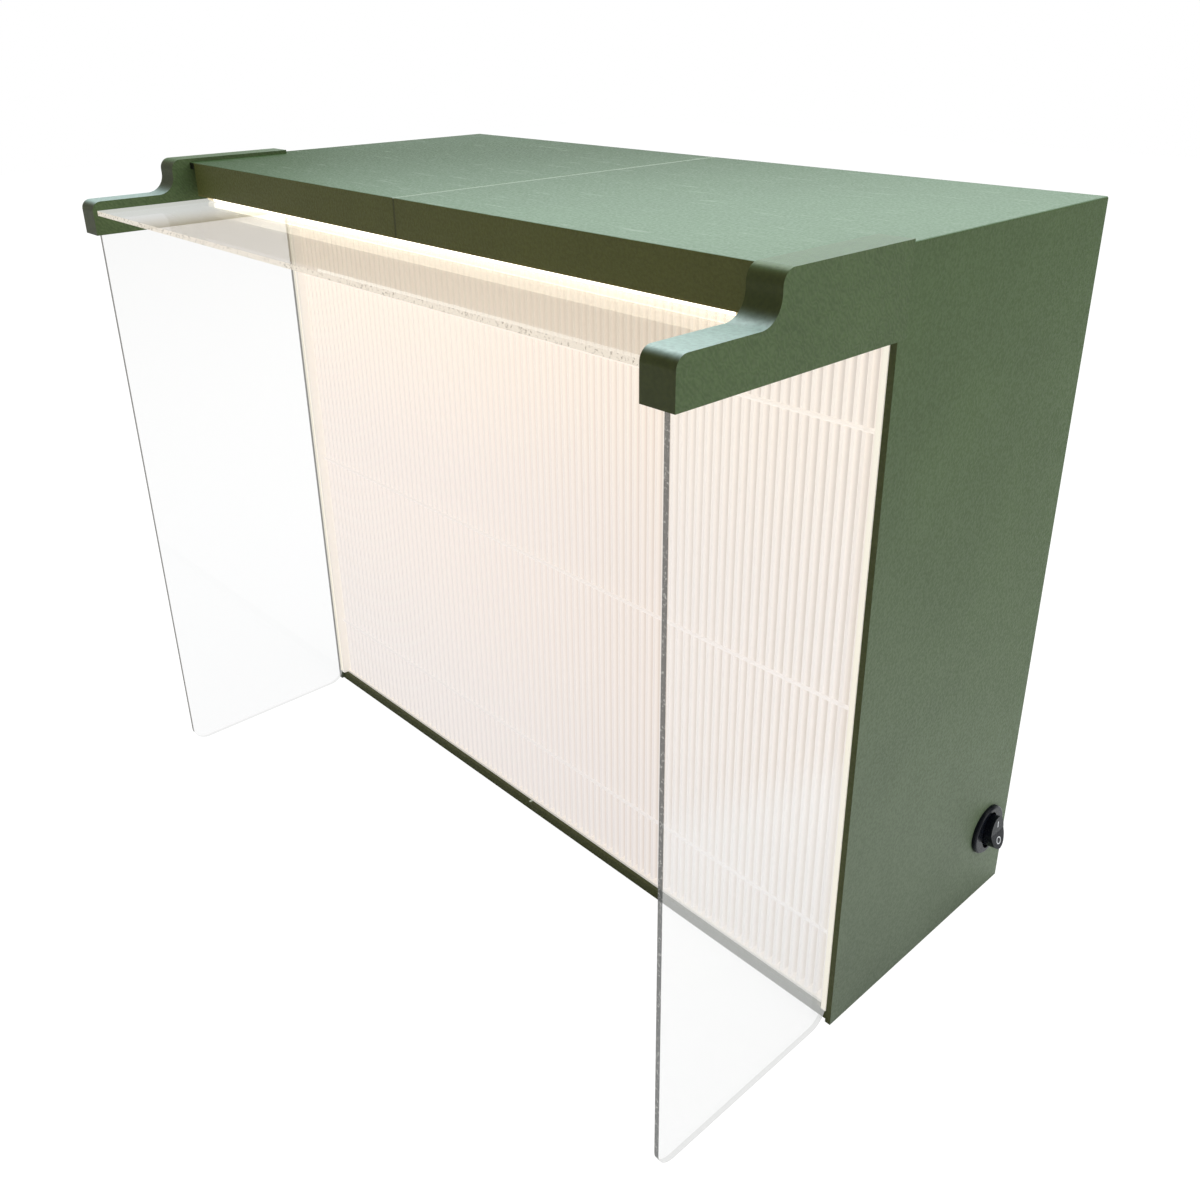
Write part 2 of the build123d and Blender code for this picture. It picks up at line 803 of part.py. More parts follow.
def switch_rocker():
    """Oval rocker, tilted to its on position, with its pivot pins."""
    tilt = radians(rocker_swing)
    out = Vector(cos(tilt), 0, sin(tilt))
    pivot = Vector(wall_outer_x, switch_y, switch_z)
    face = Plane(origin=pivot, x_dir=(0, 1, 0), z_dir=out)
    with BuildPart() as rocker:
        with BuildSketch(face.offset(-rocker_depth)):
            Ellipse(rocker_width / 2, rocker_length / 2)
        extrude(amount=rocker_depth + bezel_thickness + rocker_proud)
        side = Plane(origin=pivot, x_dir=out, z_dir=(0, -1, 0))
        top = bezel_thickness + rocker_proud
        with BuildSketch(side):
            with BuildLine():
                Polyline(
                    (top - rocker_dip, 0),
                    (top, rocker_length / 2),
                    (top + rocker_dip, rocker_length / 2),
                    (top + rocker_dip, -rocker_length / 2),
                    (top, -rocker_length / 2),
                    close=True,
                )
            make_face()
        extrude(amount=rocker_width, both=True, mode=Mode.SUBTRACT)
        with BuildSketch(Plane.XZ.offset(-switch_y)):
            with Locations((wall_outer_x, switch_z)):
                Circle(pivot_radius)
        extrude(amount=rocker_width / 2 + pivot_reach, both=True)
    return rocker.part


def switch_terminals():
    """Two brass blades on the back of the switch."""
    with BuildPart() as blades:
        with BuildSketch(Plane.YZ.offset(wall_outer_x - barrel_depth)):
            with Locations((switch_y, switch_z)):
                with GridLocations(0, terminal_spacing, 1, 2):
                    Rectangle(terminal_width, terminal_thickness)
        extrude(amount=-terminal_length)
    return blades.part


def power_inlet():
    """Round panel socket with a flange outside the panel."""
    with BuildPart() as inlet:
        with BuildSketch(upright(panel_back_y)):
            with Locations((inlet_x, inlet_z)):
                Circle(inlet_flange_radius)
        extrude(amount=-panel_recess)
        with BuildSketch(upright(panel_back_y)):
            with Locations((inlet_x, inlet_z)):
                Circle(inlet_radius)
        extrude(amount=inlet_length)
        with BuildSketch(upright(back_y)):
            with Locations((inlet_x, inlet_z)):
                Circle(inlet_bore_radius)
        extrude(amount=inlet_bore_depth, mode=Mode.SUBTRACT)
    return inlet.part


def inlet_pin():
    """Brass centre pin of the inlet."""
    with BuildPart() as pin:
        with BuildSketch(upright(back_y - inlet_bore_depth)):
            with Locations((inlet_x, inlet_z)):
                Circle(inlet_pin_radius)
        extrude(amount=inlet_pin_setback - inlet_bore_depth)
    return pin.part


def inlet_nut():
    """Hexagon nut that clamps the inlet from inside."""
    with BuildPart() as nut:
        with BuildSketch(upright(panel_front_y)):
            with Locations((inlet_x, inlet_z)):
                RegularPolygon(inlet_nut_across_flats / 2, 6, major_radius=False)
                Circle(inlet_radius, mode=Mode.SUBTRACT)
        extrude(amount=inlet_nut_height)
    return nut.part


for side, hand in ((-1, "left"), (1, "right")):
    keep(housing_half(side), f"{hand}_housing")
    keep(bracket(side), f"{hand}_bracket")
    keep(side_sheet(side), f"{hand}_screen")
    keep(rear_panel(side), f"{hand}_rear_panel")
    keep(foam_pad(side), f"{hand}_prefilter")
    keep(fan_frame(side), f"{hand}_fan_frame")
    keep(fan_rotor(side), f"{hand}_fan_rotor")

keep(top_sheet(), "top_screen")
keep(filter_frame(), "filter_frame")
keep(filter_media(), "filter_media")
keep(filter_beads(), "filter_beads")
keep(filter_gasket(), "filter_gasket")
keep(light_channel(), "light_channel")
keep(light_tape(), "light_tape")
keep(light_diffuser(), "light_diffuser")
keep(light_end_caps(), "light_end_caps")
keep(panel_screws(), "rear_panel_screws")
keep(fan_screws(), "fan_screws")
keep(bracket_screws(), "bracket_screws")
keep(seam_screws(), "seam_screws")
keep(seam_nuts(), "seam_nuts")
keep(switch_body(), "switch_body")
keep(switch_rocker(), "switch_rocker")
keep(switch_terminals(), "switch_terminals")
keep(power_inlet(), "power_inlet")
keep(inlet_pin(), "power_inlet_pin")
keep(inlet_nut(), "power_inlet_nut")
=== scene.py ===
from math import cos, pi, radians, sin

import bpy
from mathutils import Matrix, Vector


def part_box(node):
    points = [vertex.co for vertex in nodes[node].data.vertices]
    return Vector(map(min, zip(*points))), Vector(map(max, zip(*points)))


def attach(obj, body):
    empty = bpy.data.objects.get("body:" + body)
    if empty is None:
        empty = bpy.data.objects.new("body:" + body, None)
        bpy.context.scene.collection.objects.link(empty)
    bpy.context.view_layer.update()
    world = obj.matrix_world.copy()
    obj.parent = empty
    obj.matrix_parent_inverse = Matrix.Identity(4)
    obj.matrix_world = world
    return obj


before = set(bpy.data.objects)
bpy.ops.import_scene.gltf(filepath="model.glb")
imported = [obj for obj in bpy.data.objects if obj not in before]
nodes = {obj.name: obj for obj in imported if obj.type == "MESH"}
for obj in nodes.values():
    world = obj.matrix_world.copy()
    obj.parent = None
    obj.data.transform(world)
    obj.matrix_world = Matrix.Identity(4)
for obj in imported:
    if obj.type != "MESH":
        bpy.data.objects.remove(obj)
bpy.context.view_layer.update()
mm = 0.001

# Printed shell: two green plastic halves screwed together along a seam, with two rear panels.
# The walls are finely pebbled and satin. The roof has faint scratches and a pale line along the seam.
# Painted light: the roof is painted lighter with a painted sheen, the walls carry a painted floor
# reflection at the foot, and the front faces a painted olive shade.


class Wire:
    """One output socket of a node tree, with Python's operators as Math nodes."""

    def __init__(self, finish, socket):
        self.finish = finish
        self.socket = socket

    def math(self, operation, first, second):
        return self.finish.node("ShaderNodeMath", {"operation": operation}, {0: first, 1: second})

    def __add__(self, other):
        return self.math("ADD", self, other)

    def __radd__(self, other):
        return self.math("ADD", other, self)

    def __sub__(self, other):
        return self.math("SUBTRACT", self, other)

    def __rsub__(self, other):
        return self.math("SUBTRACT", other, self)

    def __mul__(self, other):
        return self.math("MULTIPLY", self, other)

    def __rmul__(self, other):
        return self.math("MULTIPLY", other, self)

    def __pow__(self, other):
        return self.math("POWER", self, other)

    def __lt__(self, other):
        return self.math("LESS_THAN", self, other)

    def __gt__(self, other):
        return self.math("GREATER_THAN", self, other)

    def __abs__(self):
        return self.math("ABSOLUTE", self, 0)


class Finish:
    """The node tree of a material or a world, built up by expressions."""

    def __init__(self, owner):
        owner.use_nodes = True
        self.owner = owner
        self.tree = owner.node_tree
        self.tree.nodes.clear()

    def node(self, kind, settings, sockets, output=0):
        """Adds a node: its settings first, then the values or links of its sockets."""
        node = self.tree.nodes.new(kind)
        for name, value in settings.items():
            setattr(node, name, value)
        for key, value in sockets.items():
            if isinstance(value, Wire):
                self.tree.links.new(value.socket, node.inputs[key])
            else:
                node.inputs[key].default_value = value
        return Wire(self, node.outputs[output])

    def place(self):
        """The point on the surface, in the object's own frame in metres."""
        return self.node("ShaderNodeTexCoord", {}, {}, "Object")

    def axis(self, name):
        """The surface point's distance along one axis."""
        return self.node("ShaderNodeSeparateXYZ", {}, {0: self.place()}, name)

    def facing(self, name):
        """How far the surface looks along an axis, from -1 to 1."""
        normal = self.node("ShaderNodeNewGeometry", {}, {}, "Normal")
        return self.node("ShaderNodeSeparateXYZ", {}, {0: normal}, name)

    def stretch(self, factors):
        """The surface point with each axis multiplied by its own factor."""
        sockets = {0: self.place(), 1: factors}
        return self.node("ShaderNodeVectorMath", {"operation": "MULTIPLY"}, sockets)

    def noise(self, size, detail=2.0, rough=0.5, where=None):
        """Soft random pattern, about 0 to 1, with lumps of the given size in metres."""
        where = where or self.place()
        sockets = {"Vector": where, "Scale": 1 / size, "Detail": detail, "Roughness": rough}
        return self.node("ShaderNodeTexNoise", {}, sockets)

    def bands(self, direction, scale, distortion, where):
        """Soft parallel lines, 0 to 1, that wander more with a larger distortion."""
        settings = {"wave_type": "BANDS", "bands_direction": direction}
        sockets = {"Vector": where, "Scale": scale, "Distortion": distortion, "Detail": 1.0}
        return self.node("ShaderNodeTexWave", settings, sockets, "Fac")

    def step(self, value, low, high):
        """0 below low and 1 above high, with a smooth change between them."""
        sockets = {"Value": value, "From Min": low, "From Max": high}
        return self.node("ShaderNodeMapRange", {"interpolation_type": "SMOOTHSTEP"}, sockets)

    def blend(self, factor, first, second, way="MIX"):
        """The first colour at factor 0 and the second at 1."""
        settings = {"data_type": "RGBA", "blend_type": way}
        return self.node("ShaderNodeMix", settings, {0: factor, 6: first, 7: second}, 2)

    def multiply(self, first, second):
        return self.blend(1.0, first, second, "MULTIPLY")

    def bump(self, height, depth, strength):
        sockets = {"Height": height, "Distance": depth, "Strength": strength}
        return self.node("ShaderNodeBump", {}, sockets)

    def plastic(self, colour, rough, **sockets):
        """The main shader, with its colour, roughness and any other sockets by name."""
        named = {name.replace("_", " "): value for name, value in sockets.items()}
        named.update({"Base Color": colour, "Roughness": rough})
        return self.node("ShaderNodeBsdfPrincipled", {}, named)

    def glow(self, colour):
        """Sockets of the main shader for a soft glow, kept weak enough that it isn't a lamp."""
        strength = 0.4
        bright = self.multiply(colour, grey(1 / strength))
        return {"Emission_Color": bright, "Emission_Strength": strength}

    def mix(self, factor, first, second):
        return self.node("ShaderNodeMixShader", {}, {0: factor, 1: first, 2: second})

    def cover(self, shader, kind="ShaderNodeOutputMaterial"):
        """Sends a shader to the surface output and gives back what it covers."""
        output = self.tree.nodes.new(kind)
        self.tree.links.new(shader.socket, output.inputs["Surface"])
        return self.owner


def grey(level):
    return (level, level, level, 1.0)


def tint(red, green, blue):
    """Linear colour of a paint chip read as 0 to 255 on a screen."""
    parts = [part / 255 for part in (red, green, blue)]
    line = [p / 12.92 if p <= 0.04045 else ((p + 0.055) / 1.055) ** 2.4 for p in parts]
    return (*line, 1.0)


def new_finish(name):
    return Finish(bpy.data.materials.new(name))


def dress(material, *names):
    """Gives the material to the slots of the named frame pieces."""
    for name in names:
        for slot in nodes[name].material_slots:
            slot.material = material


def add_piece(name, points, faces, material, body):
    """Adds a mesh piece, made of points in metres, that moves with a body."""
    mesh = bpy.data.meshes.new(name)
    mesh.from_pydata(points, [], faces)
    mesh.materials.append(material)
    piece = bpy.data.objects.new(name, mesh)
    bpy.context.scene.collection.objects.link(piece)
    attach(piece, body)


shell_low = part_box("right_housing")[0]
light_low, light_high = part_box("light_diffuser")
canopy_front = shell_low.y
canopy_depth = 50 * mm
canopy_bottom = light_low.z - 5 * mm
fascia_half = 169 * mm
left_wall = 180 * mm
sill_top = 20 * mm
seam_x = -4 * mm

green_side = (0.080, 0.126, 0.046, 1)
floor_sheen_grey = tint(122, 131, 116)
roof_sheen_dim = (0.020, 0.064, 0.002, 1)
roof_sheen_bright = (0.186, 0.280, 0.180, 1)
olive_shade = (0.062, 0.072, 0.020, 1)
fascia_olive_shade = (0.106, 0.114, 0.030, 1)
rim_highlight = (0.16, 0.15, 0.13, 1)
gap_shadow = (0.008, 0.010, 0.005, 1)
scratch_pale = tint(225, 236, 220)
seam_dark = (0.028, 0.032, 0.010, 1)
bar_glow_colour = tint(80, 52, 22)


def mottled(finish, blotch, pebble, light, dark):
    """Factors for a colour, from light to dark, by large blotches and small pebbles."""
    return finish.blend(blotch * 0.6 + pebble * 0.4, grey(light), grey(dark))


def shell_finish():
    finish = new_finish("shell_green")
    pebble = finish.step(finish.noise(1.1 * mm, 2.0, 0.6), 0.30, 0.70)
    blotch = finish.noise(35 * mm, 3.0, 0.5)
    height = finish.axis("Z")
    upward = finish.step(finish.facing("Z"), 0.5, 0.9)
    forward = finish.step(finish.facing("Y") * -1, 0.5, 0.9)
    in_canopy = finish.step(height, canopy_bottom - 1 * mm, canopy_bottom + 1 * mm)

    # Painted reflection: the walls are greyer at the foot, where they mirror the pale floor. A
    # painted sheen makes the roof palest at its right front corner.
    floor_sheen = 1 - finish.step(height + finish.axis("Y") * 0.8, -50 * mm, 240 * mm)
    green = finish.blend(floor_sheen * 0.65, green_side, floor_sheen_grey)
    sheen_across = finish.step(finish.axis("X") - finish.axis("Y") * 0.7, -150 * mm, 220 * mm)
    roof_sheen = finish.blend(sheen_across, roof_sheen_dim, roof_sheen_bright)
    # Upward faces low on the sill take the olive painted shade.
    on_sill = 1 - finish.step(height, sill_top, sill_top + 5 * mm)
    green = finish.blend(upward, green, finish.blend(on_sill, roof_sheen, olive_shade))

    # Painted shade: front faces are a shaded olive, with a painted highlight as a pale rim on the
    # left wall and painted shadow as black gaps beside the fascia.
    front_shade = finish.blend(in_canopy, olive_shade, fascia_olive_shade)
    on_left_wall = finish.step(finish.axis("X") * -1, left_wall, left_wall + 0.4 * mm)
    green = finish.blend(forward, green, finish.blend(on_left_wall, front_shade, rim_highlight))
    shaded_gap = finish.step(abs(finish.axis("X")), fascia_half - 0.1 * mm, fascia_half + 0.1 * mm)
    shaded_gap = shaded_gap * in_canopy * (finish.axis("Y") < canopy_front + canopy_depth) * (1 - upward)
    green = finish.blend(shaded_gap, green, gap_shadow)

    # Texture is fainter on the roof, which has the scratches. The seam is dark on the fascia.
    mottle = mottled(finish, blotch, pebble, 1.2, 0.8)
    green = finish.multiply(green, finish.blend(upward * 0.6, mottle, grey(1.0)))
    scratch = finish.noise(2.5 * mm, 3.0, 0.6, finish.stretch((0.12, 1.0, 1.0)))
    marks = finish.step(scratch, 0.62, 0.70) * upward
    seam = 1 - finish.step(abs(finish.axis("X") - seam_x), 0.3 * mm, 0.9 * mm)
    green = finish.blend(marks * 0.12 + seam * upward * 0.75, green, scratch_pale)
    green = finish.blend(seam * forward * in_canopy * 0.6, green, seam_dark)

    # Painted glow: the canopy beside the light bar glows warm, as if lit by it.
    beside_light = 1 - finish.step(finish.axis("Y"), canopy_front, light_low.y + 4 * mm)
    under = 1 - finish.step(height, light_high.z - 2 * mm, light_high.z)
    bar_glow = finish.blend(beside_light * under, grey(0.0), bar_glow_colour)
    shader = finish.plastic(
        green,
        0.40 + pebble * 0.14,
        Normal=finish.bump(pebble, 0.12 * mm, 0.5),
        Specular_IOR_Level=0.22,
        **finish.glow(bar_glow),
    )
    return finish.cover(shader)


dress(shell_finish(), "left_housing", "right_housing", "left_rear_panel", "right_rear_panel")

# Brackets: two arms printed lying on their outer faces, in layers 0.4 mm thick that show as fine
# lines along the curved front. The outer face has the slanting strokes of its first layer, about
# 1.5 mm apart. Each is screwed on beside the canopy. Upward faces carry a painted sheen, palest
# on the low arm in front, and front faces a painted olive shade.

arm_below = 296 * mm
shoulder_above = 301 * mm
shoulder_sheen = (0.100, 0.168, 0.066, 1)
arm_sheen = (0.43, 0.57, 0.52, 1)
tip_olive_shade = (0.053, 0.063, 0.014, 1)
stroke_pale = tint(122, 136, 100)
stroke_scale = 300.0
layer_scale = 800.0


def bracket_finish():
    finish = new_finish("bracket_green")
    flat = finish.step(abs(finish.facing("X")), 0.8, 0.95)
    upward = finish.step(finish.facing("Z"), 0.2, 0.95)
    forward = finish.step(finish.facing("Y") * -1, 0.3, 0.9)
    blotch = finish.noise(20 * mm, 3.0, 0.5)
    pebble = finish.step(finish.noise(1.4 * mm, 2.0, 0.6), 0.34, 0.66)
    slant = finish.bands("DIAGONAL", stroke_scale, 9.0, finish.stretch((0, 1, 1)))
    layers = finish.bands("X", layer_scale, 0.2, finish.place())
    relief = flat * (slant * 0.6 + pebble * 0.6) + (1 - flat) * layers * 0.25
    # Painted light: a painted sheen on upward faces, brightest on the low arm, and a painted olive
    # shade on front faces.
    arm = 1 - finish.step(finish.axis("Z"), arm_below, shoulder_above)
    top = finish.blend(arm, shoulder_sheen, arm_sheen)
    green = finish.blend(upward, green_side, top)
    green = finish.blend(forward, green, tip_olive_shade)
    green = finish.multiply(green, mottled(finish, blotch, pebble, 1.2, 0.75))
    green = finish.blend(flat * slant * 0.14, green, stroke_pale)
    shader = finish.plastic(
        green,
        0.30 + flat * 0.14,
        Normal=finish.bump(relief, 0.12 * mm, 0.6),
        Specular_IOR_Level=0.22,
    )
    return finish.cover(shader)


dress(bracket_finish(), "left_bracket", "right_bracket")

# Clear sheets: 2 mm cast acrylic, laser cut and a little hazy. The side sheets hang from slots
# under the brackets, and the top sheet lies in grooves and carries the light to its front edge.

rim_depth = 0.3 * mm
back_glow = tint(252, 246, 228)
screen_height = 300 * mm


def milky(finish, colour):
    """Dark matt plastic that glows in the colour that a sheet catches from round about."""
    return finish.plastic(tint(60, 60, 60), 0.5, Specular_IOR_Level=0.1, **finish.glow(colour))


def acrylic(name, piece, thin_axis, veil, haze, shine, front, rim):
    """Clear sheet: veil and haze are those of its faces, front and rim those of its edges."""
    low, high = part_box(piece)
    front_glow, front_cover, chip_glow = front
    rim_glow, rim_cover = rim
    finish = new_finish(name)

    # Plastic mirrors 4 percent straight on and all of it at a glancing view.
    along = finish.node("ShaderNodeLayerWeight", {}, {"Blend": 0.5}, "Facing")
    mirror = (along ** 5 * 0.96 + 0.04) * shine
    clear = finish.node("ShaderNodeBsdfTransparent", {}, {"Color": grey(1.0)})
    gloss = finish.node("ShaderNodeBsdfGlossy", {}, {"Color": grey(1.0), "Roughness": 0.03})
    mist = milky(finish, veil(finish))
    face = finish.mix(mirror, finish.mix(haze(finish), clear, mist), gloss)

    # Cut edges glow, and tiny chips show along the front one.
    edge = 1 - finish.step(abs(finish.facing(thin_axis)), 0.4, 0.6)
    at_front = finish.axis("Y") < low.y + rim_depth
    at_back = finish.axis("Y") > high.y - rim_depth
    chips = finish.step(finish.noise(0.9 * mm, 3.0, 0.7), 0.54, 0.66)
    glow = finish.blend(at_front, rim_glow, finish.blend(chips, front_glow, chip_glow))
    cut = milky(finish, finish.blend(at_back, glow, back_glow))
    edge_cover = at_front * (front_cover - rim_cover) + rim_cover + at_back * 0.4
    return finish.cover(finish.mix(edge, face, finish.mix(edge_cover, clear, cut)))


def past_left_end(finish):
    """0 at the left end of the top sheet and 1 over the rest of it."""
    return finish.step(finish.axis("X"), -150 * mm, -100 * mm)


def top_veil(finish):
    """Tan along the sheet, where it mirrors the fascia, and pale at its left end."""
    return finish.blend(1 - past_left_end(finish), tint(208, 184, 150), tint(228, 229, 227))


def top_haze(finish):
    return 0.72 - past_left_end(finish) * 0.56


def left_veil(finish):
    height = finish.step(finish.axis("Z"), 0.0, screen_height)
    return finish.blend(height, tint(204, 205, 206), tint(210, 210, 208))


def left_haze(finish):
    return finish.step(finish.axis("Z"), 0.0, 2 * screen_height) * 0.06 + 0.13


def right_veil(finish):
    height = finish.step(finish.axis("Z"), 0.0, screen_height)
    return finish.blend(height, tint(240, 241, 241), tint(238, 237, 234))


def right_haze(finish):
    """More veil in the lower part, where the sheet mirrors the pale table."""
    return 0.22 - finish.step(finish.axis("Z") + finish.axis("Y") * 0.3, 90 * mm, 115 * mm) * 0.15


top_front = (tint(236, 226, 210), 0.75, tint(150, 140, 126))
top_rim = (tint(240, 236, 224), 0.5)
left_front = (tint(88, 84, 78), 0.85, tint(120, 118, 112))
left_rim = (tint(205, 206, 204), 0.4)
right_front = (tint(66, 68, 66), 0.85, tint(150, 150, 146))
right_rim = (tint(190, 191, 188), 0.5)
sheets = (
    ("top", "Z", top_veil, top_haze, 0.4, top_front, top_rim),
    ("left", "X", left_veil, left_haze, 0.25, left_front, left_rim),
    ("right", "X", right_veil, right_haze, 0.8, right_front, right_rim),
)
for side, *looks in sheets:
    dress(acrylic(side + "_acrylic", side + "_screen", *looks), side + "_screen")

# Filter: a cream plastic cartridge round one long sheet of white paper, folded tight and spaced
# by lines of glue. Light soaks through the paper, so it glows, warmest just under the light bar.
# Two upright lips fill the gaps between the cartridge and the edges of the side walls.

media_low, media_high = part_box("filter_media")
cartridge_low, cartridge_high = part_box("filter_frame")
paper_white = (0.36, 0.35, 0.34, 1)
fibre_grey = (0.28, 0.27, 0.26, 1)
glow_bottom = (0.64, 0.60, 0.58, 1)
glow_middle = (0.69, 0.625, 0.58, 1)
glow_top = (0.80, 0.70, 0.59, 1)
glow_cloud = (0.56, 0.50, 0.48, 1)
fold_shade_glow = (0.43, 0.37, 0.315, 1)
half_up = 150 * mm


def paper_finish(name, brightness):
    finish = new_finish(name)
    height = finish.axis("Z")
    fibre = finish.noise(0.7 * mm, 3.0, 0.6)
    cloud = finish.noise(60 * mm, 2.0, 0.5)
    white = finish.blend(fibre * 0.3, paper_white, fibre_grey)
    lower = finish.blend(finish.step(height, 20 * mm, half_up), glow_bottom, glow_middle)
    lit = finish.blend(finish.step(height, half_up, media_high.z), lower, glow_top)
    lit = finish.blend(cloud * 0.12, lit, glow_cloud)

    # Painted shade: the glow is darker inside the folds, and more so towards the right.
    fold_shade = finish.step(finish.axis("Y"), media_low.y + 0.3 * mm, media_low.y + 3.5 * mm)
    right = finish.step(finish.axis("X"), -140 * mm, 150 * mm)
    lit = finish.blend(fold_shade * (right * 0.85 + 0.15), lit, fold_shade_glow)
    lit = finish.multiply(lit, grey(brightness))
    shader = finish.plastic(
        white,
        0.85,
        Normal=finish.bump(fibre, 0.05 * mm, 0.3),
        Specular_IOR_Level=0.1,
        **finish.glow(lit),
    )
    return finish.cover(shader)


dress(paper_finish("filter_paper", 1.0), "filter_media")
dress(paper_finish("glue_line", 1.05), "filter_beads")


def moulded(name, colour, rough, grain=1.2 * mm, depth=0.05 * mm, glow=None, **sockets):
    """Plain moulded plastic or foam with a fine grain, and a soft glow if one is given."""
    finish = new_finish(name)
    if glow:
        sockets.update(finish.glow(glow))
    grains = finish.noise(grain, 2.0, 0.6)
    darker = (*(part * 0.8 for part in colour[:3]), 1.0)
    shader = finish.plastic(
        finish.blend(grains * 0.6, colour, darker),
        rough - 0.05 + grains * 0.1,
        Normal=finish.bump(grains, depth, 0.5),
        **sockets,
    )
    return finish.cover(shader)


# The cartridge and its lips carry a painted glow, standing in for the light that falls on them.
cartridge_cream = moulded(
    "cartridge_cream", tint(228, 222, 214), 0.55, glow=(0.38, 0.36, 0.335, 1)
)
dress(cartridge_cream, "filter_frame")
dress(moulded("seal_foam", tint(38, 38, 38), 0.9, 0.8 * mm, 0.2 * mm), "filter_gasket")

lip_depth = 3.0 * mm
lip_bevel = 0.4 * mm
lip_bottom = 4.8 * mm
lip_top = 281.3 * mm
lip_back = cartridge_low.y
lip_front = lip_back - lip_depth
lip_points = []
lip_faces = []
for side in (-1, 1):
    inner = media_high.x * side
    outer = cartridge_high.x * side
    outline = [
        (inner, lip_back),
        (inner, lip_front + lip_bevel),
        (inner + lip_bevel * side, lip_front),
        (outer - lip_bevel * side, lip_front),
        (outer, lip_front + lip_bevel),
        (outer, lip_back),
    ]
    count = len(outline)
    first = len(lip_points)
    for z in (lip_bottom, lip_top):
        lip_points += [(x, y, z) for x, y in outline]
    for index in range(count):
        here = first + index
        after = first + (index + 1) % count
        lip_faces.append((here, after, after + count, here + count))
    lip_faces.append(tuple(range(first, first + count)))
    lip_faces.append(tuple(range(first + count, first + 2 * count)))
add_piece("cartridge_lips", lip_points, lip_faces, cartridge_cream, "hood")

# Light bar: an aluminium channel glued behind the fascia, with a strip of lamps inside, a
# frosted cover and two plastic caps. The cover is lit end to end.


def lit_finish(name, colour, strength):
    """Plastic that sends out light of its own, a little uneven in colour."""
    finish = new_finish(name)
    grain = finish.noise(4 * mm, 1.0, 0.5)
    glow = finish.blend(grain * 0.1, colour, tint(255, 238, 200))
    shader = finish.plastic(
        tint(250, 246, 232), 0.4, Emission_Color=glow, Emission_Strength=strength
    )
    return finish.cover(shader)


dress(lit_finish("frosted_cover", tint(255, 247, 224), 2.7), "light_diffuser")
dress(lit_finish("lamp_strip", tint(255, 240, 205), 0.45), "light_tape")
# The end caps get a painted glow, as if lit by the lamps inside.
dress(lit_finish("end_cap_cream", tint(226, 186, 96), 0.45), "light_end_caps")


def metal(name, colour, rough):
    """Bare metal with faint drawing lines."""
    finish = new_finish(name)
    scratch = finish.noise(0.6 * mm, 2.0, 0.6)
    relief = finish.bump(scratch, 0.02 * mm, 0.4)
    shader = finish.plastic(colour, rough + scratch * 0.15, Metallic=1.0, Normal=relief)
    return finish.cover(shader)


dress(metal("anodised_channel", tint(196, 197, 200), 0.35), "light_channel")

# Fans and their foam pads: black moulded frames and rotors inside the rear grilles, with coarse
# filter foam laid between them and the panels.

fan_black = moulded("fan_black", tint(34, 34, 36), 0.45)
dress(fan_black, "left_fan_frame", "right_fan_frame", "left_fan_rotor", "right_fan_rotor")
pad_foam = moulded("pad_foam", tint(52, 52, 54), 0.95, 1.6 * mm, 0.8 * mm)
dress(pad_foam, "left_prefilter", "right_prefilter")

# Screws: zinc-plated steel. The eight heads on the rear panels, 5.6 mm across, have a cross
# recess, drawn as a dark cross of painted shade lying just over the head. Sizes and places are
# millimetres.

zinc = metal("zinc_steel", tint(176, 178, 180), 0.3)
dress(zinc, "rear_panel_screws", "fan_screws", "bracket_screws", "seam_screws", "seam_nuts")

screw_across = (-171.6, -18.0, 10.0, 171.6)
screw_up = (12.0, 294.0)
cross_reach = 1.6
cross_half_width = 0.4
cross_lift = 0.03
cross_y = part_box("rear_panel_screws")[1].y + cross_lift * mm
cross = []
corner = [
    (-cross_half_width, -cross_reach),
    (cross_half_width, -cross_reach),
    (cross_half_width, -cross_half_width),
]
for quarter in range(4):
    cross += corner
    corner = [(-z, x) for x, z in corner]
cross_points = []
cross_faces = []
for x in screw_across:
    for z in screw_up:
        first = len(cross_points)
        cross_points += [((x + dx) * mm, cross_y, (z + dz) * mm) for dx, dz in cross]
        cross_faces.append(tuple(reversed(range(first, len(cross_points)))))
recess_shade = moulded("recess_shade", tint(40, 40, 42), 0.5)
add_piece("screw_recesses", cross_points, cross_faces, recess_shade, "hood")

# Rocker switch and inlet: glossy bluish black plastic, snapped in or held by a nut, with brass
# contacts. The rocker's face is a shallow V, 15.6 mm long and tipped by 10 degrees, with a white
# I above and a white O below. Sizes on the face are millimetres from its middle.

gloss_black = moulded(
    "switch_black", tint(13, 16, 24), 0.28, 0.6 * mm, 0.01 * mm, Specular_IOR_Level=0.2
)
dress(gloss_black, "switch_body", "switch_rocker", "power_inlet")
brass = metal("contact_brass", tint(214, 176, 96), 0.3)
dress(brass, "switch_terminals", "power_inlet_pin", "power_inlet_nut")

pivot = Vector((183.0, 46.0, 36.0)) * mm
tilt = radians(10)
face_out = 5.73
face_dip = 0.9
face_half_length = 7.8
stroke_half_width = 0.35
stroke_low = 2.6
stroke_high = 5.6
ring_middle = -3.9
ring_radii = (1.25, 1.75)
ring_sides = 24


def on_rocker(sheen_across, up):
    """Point just over the rocker's face, in metres, from millimetres across and up it."""
    out = face_out + abs(up) * face_dip / face_half_length
    along = Vector((cos(tilt), 0, sin(tilt))) * out + Vector((-sin(tilt), 0, cos(tilt))) * up
    return pivot + (along + Vector((0, sheen_across, 0))) * mm


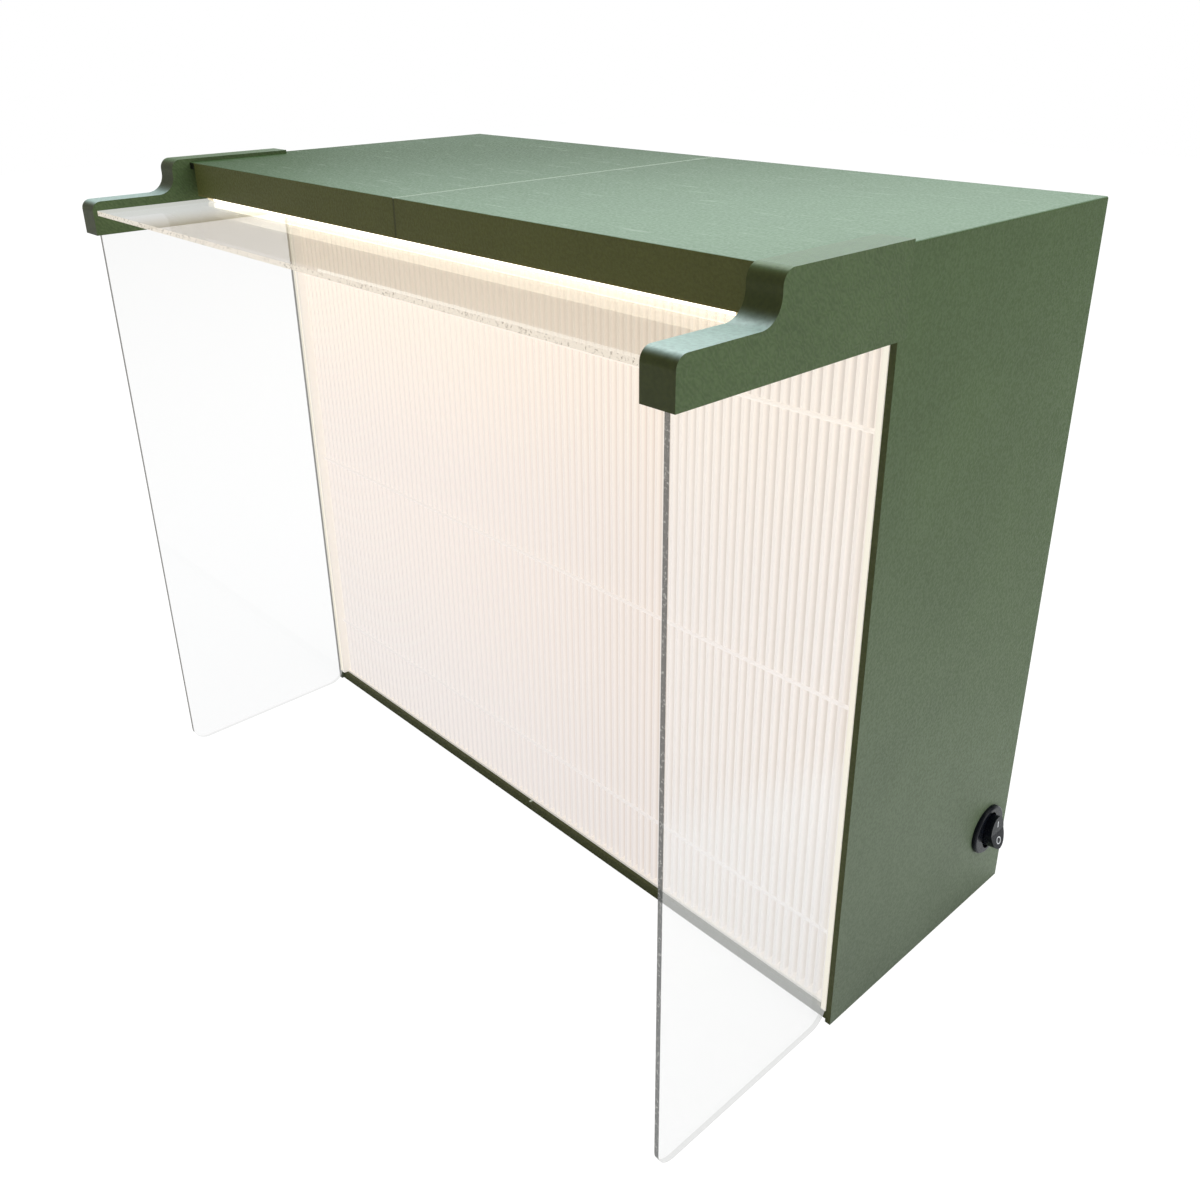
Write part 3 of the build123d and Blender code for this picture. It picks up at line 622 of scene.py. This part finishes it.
mark_points = [
    on_rocker(-stroke_half_width, stroke_low),
    on_rocker(stroke_half_width, stroke_low),
    on_rocker(stroke_half_width, stroke_high),
    on_rocker(-stroke_half_width, stroke_high),
]
mark_faces = [(0, 1, 2, 3)]
first = len(mark_points)
for index in range(ring_sides):
    turn = 2 * pi * index / ring_sides
    for radius in ring_radii:
        mark_points.append(on_rocker(radius * cos(turn), radius * sin(turn) + ring_middle))
    here = first + 2 * index
    after = first + 2 * ((index + 1) % ring_sides)
    mark_faces.append((here, here + 1, after + 1, after))
white_print = moulded("white_print", tint(226, 228, 230), 0.5)
add_piece("switch_marks", mark_points, mark_faces, white_print, "rocker")

# Floor, lamps and camera: a pale studio table under soft light from above and behind, seen from
# the right and a little above.

floor_reach = 3.0
floor_drop = 0.05 * mm
table_white = tint(248, 248, 248)


def floor_finish():
    """Matt table that the camera sees nearly white, with the shadow of the hood on it."""
    finish = new_finish("pale_floor")
    table = finish.node("ShaderNodeBsdfDiffuse", {}, {"Color": table_white})
    white = finish.node("ShaderNodeEmission", {}, {"Color": grey(1.0), "Strength": 1.12})
    seen = finish.node("ShaderNodeLightPath", {}, {}, "Is Camera Ray")
    return finish.cover(finish.mix(seen * 0.88, table, white))


floor_mesh = bpy.data.meshes.new("floor")
corners = [(x * floor_reach, y * floor_reach, 0) for x, y in ((-1, -1), (1, -1), (1, 1), (-1, 1))]
floor_mesh.from_pydata(corners, [], [(0, 1, 2, 3)])
floor_mesh.materials.append(floor_finish())
floor = bpy.data.objects.new("floor", floor_mesh)
floor.location.z = -floor_drop
bpy.context.scene.collection.objects.link(floor)


def lamp(name, place, aim, width, height, watts, colour):
    """Soft rectangular lamp at a place in metres, turned towards a point."""
    light = bpy.data.lights.new(name, "AREA")
    light.shape = "RECTANGLE"
    light.size = width
    light.size_y = height
    light.energy = watts
    light.color = colour
    holder = bpy.data.objects.new(name, light)
    holder.location = place
    holder.rotation_euler = (Vector(aim) - Vector(place)).to_track_quat("-Z", "Y").to_euler()
    bpy.context.scene.collection.objects.link(holder)


hood_middle = (0, 0, 0.15)
lamp("overhead", (-0.2, 0.5, 1.5), hood_middle, 1.4, 1.2, 20.0, (0.97, 1.0, 1.0))
lamp("horizon", (-1.1, 1.5, 0.9), (0.1, 0, 0.3), 2.0, 0.7, 6.0, (0.84, 0.97, 0.97))
lamp("right_side", (1.7, 0.5, 0.7), hood_middle, 1.0, 1.0, 7.0, (1.0, 1.0, 0.98))

world = bpy.data.worlds.new("studio")
bpy.context.scene.world = world
sky = Finish(world)
seen = sky.node("ShaderNodeLightPath", {}, {}, "Is Camera Ray")
backdrop = sky.node("ShaderNodeBackground", {}, {"Color": grey(1.0), "Strength": 1.0})
soft = sky.node("ShaderNodeBackground", {}, {"Color": (0.96, 0.98, 1.0, 1), "Strength": 0.42})
sky.cover(sky.mix(seen, soft, backdrop), "ShaderNodeOutputWorld")

camera_place = (366.1 * mm, -355.6 * mm, 366.3 * mm)
camera_azimuth = radians(47.183)
camera_elevation = radians(24.346)
camera_roll = radians(-0.657)
away = Vector(
    (
        sin(camera_azimuth) * cos(camera_elevation),
        -cos(camera_azimuth) * cos(camera_elevation),
        sin(camera_elevation),
    )
)
level = (-away).cross(Vector((0, 0, 1))).normalized()
upward = level.cross(-away)
right = level * cos(camera_roll) + upward * sin(camera_roll)
top = upward * cos(camera_roll) - level * sin(camera_roll)
camera = bpy.data.cameras.new("camera")
camera.sensor_width = 36.0
camera.lens = 34.26
camera.shift_x = 0.0008
camera.shift_y = -0.0559
camera.clip_start = 0.01
eye = bpy.data.objects.new("camera", camera)
eye.matrix_world = Matrix.Translation(camera_place) @ Matrix((right, top, away)).transposed().to_4x4()
bpy.context.scene.collection.objects.link(eye)
bpy.context.scene.camera = eye
bpy.context.scene.view_settings.view_transform = "Standard"
